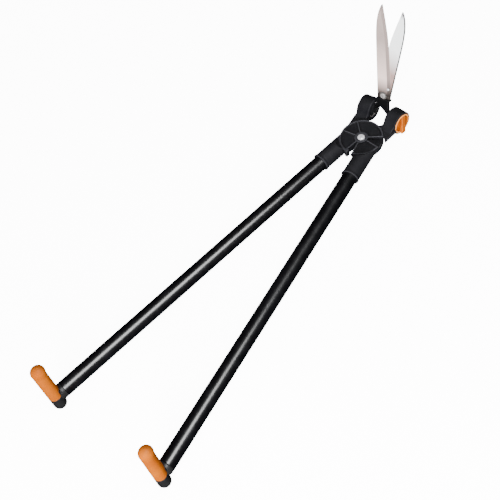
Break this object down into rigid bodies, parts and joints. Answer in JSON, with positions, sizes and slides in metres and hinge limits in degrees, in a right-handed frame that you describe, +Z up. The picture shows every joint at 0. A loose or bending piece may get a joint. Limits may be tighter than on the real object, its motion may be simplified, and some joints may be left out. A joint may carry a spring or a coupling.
{
  "type": "long-handled garden shears",
  "caption": "Long-handled garden shears lying half open: tubular handles with upright grips, ribbed pivot castings, and a blade head that tilts between two rings and locks with a knob.",
  "frame": {"origin": "centre of the bounding box's bottom, on the floor the shears lie on", "axes": "+Y from the grips to the blades, +Z up, +X towards the ring with the lock knob"},
  "size_m": [0.2804, 0.8906, 0.2434],
  "materials": {
    "casting": "moulded charcoal, fine texture",
    "paint": "gloss black paint on aluminium tube",
    "orange": "soft orange pad",
    "knob_orange": "moulded orange, satin gloss",
    "plastic": "moulded black",
    "blade": "satin ground steel",
    "steel": "bright zinc or stainless",
    "bush_grey": "grey low-friction plastic",
    "rubber": "black rubber"
  },
  "bodies": {
    "right_handle": {"right_arm": "casting", "right_tube": "paint", "right_tube_rivet": "steel", "right_grip_core": "plastic", "right_grip_pad": "orange", "right_grip_rivet": "steel", "left_ring_cap": "casting", "pivot_bolt": "steel", "pivot_nut": "steel", "pivot_shim": "bush_grey", "closing_buffer": "rubber"},
    "left_handle": {"left_arm": "casting", "left_tube": "paint", "left_tube_rivet": "steel", "left_grip_core": "plastic", "left_grip_pad": "orange", "left_grip_rivet": "steel", "pivot_bush": "steel", "right_ring_plate": "plastic", "lock_spring_washer": "steel"},
    "head_yaw": {"left_bush": "bush_grey"},
    "head_tilt": {"left_drum": "plastic", "left_drum_pin": "steel"},
    "rear_blade": {"rear_blade": "blade", "rear_tang": "plastic", "blade_nut": "steel"},
    "front_blade": {"front_blade": "blade", "front_tang": "plastic", "blade_bolt": "steel", "blade_washer": "steel", "blade_stud": "steel"},
    "right_drum": {"right_drum": "plastic", "right_drum_pin": "steel"},
    "right_bush": {"right_bush": "bush_grey"},
    "lock_knob": {"lock_knob": "knob_orange"},
    "lock_spindle": {"lock_spindle": "steel"}
  },
  "joints": [
    {"name": "handle_hinge", "type": "hinge", "parent": "right_handle", "child": "left_handle", "pos_m": [0, 0.30144, 0.02071], "axis": [0, 0.0208, 0.9998], "range_deg": [-18, 8.8]},
    {"name": "head_yaw", "type": "hinge", "parent": "right_handle", "child": "head_yaw", "pos_m": [-0.03302, 0.37085, 0.02327], "axis": [0, 0.0208, 0.9998], "range_deg": [-9.1, 4.5]},
    {"name": "head_tilt", "type": "hinge", "parent": "head_yaw", "child": "head_tilt", "pos_m": [-0.03302, 0.37085, 0.02327], "axis": [1, 0, 0], "range_deg": [-73, 17]},
    {"name": "rear_swing", "type": "hinge", "parent": "head_tilt", "child": "rear_blade", "pos_m": [-0.03302, 0.37085, 0.02327], "axis": [0, -0.95, 0.3122], "range_deg": [-14.5, 7.1]},
    {"name": "front_swing", "type": "hinge", "parent": "rear_blade", "child": "front_blade", "pos_m": [0, 0.38474, 0.06552], "axis": [0, -0.95, 0.3122], "range_deg": [-14.2, 28.9]},
    {"name": "right_drum_swing", "type": "hinge", "parent": "front_blade", "child": "right_drum", "pos_m": [0.03302, 0.37085, 0.02327], "axis": [0, -0.95, 0.3122], "range_deg": [-14.5, 7.1]},
    {"name": "right_bush_yaw", "type": "hinge", "parent": "left_handle", "child": "right_bush", "pos_m": [0.03302, 0.37085, 0.02327], "axis": [0, 0.0208, 0.9998], "range_deg": [-4.5, 9.1]},
    {"name": "lock_turn", "type": "hinge", "parent": "left_handle", "child": "lock_knob", "pos_m": [0.03302, 0.37085, 0.02327], "axis": [0.997, -0.077, 0.0016], "range_deg": [0, 60]},
    {"name": "lock_slide", "type": "slide", "parent": "left_handle", "child": "lock_spindle", "axis": [0.997, -0.077, 0.0016], "range_m": [0, 0.0016]}
  ],
  "couplings": [
    {"joint": "head_yaw", "follows": "handle_hinge", "ratio": 0.5},
    {"joint": "rear_swing", "follows": "handle_hinge", "ratio": 0.8},
    {"joint": "front_swing", "follows": "handle_hinge", "ratio": -1.6},
    {"joint": "right_drum_swing", "follows": "handle_hinge", "ratio": 0.8},
    {"joint": "right_bush_yaw", "follows": "handle_hinge", "ratio": -0.5},
    {"joint": "lock_slide", "follows": "lock_turn", "m_per_rad": 0.0014324}
  ]
}
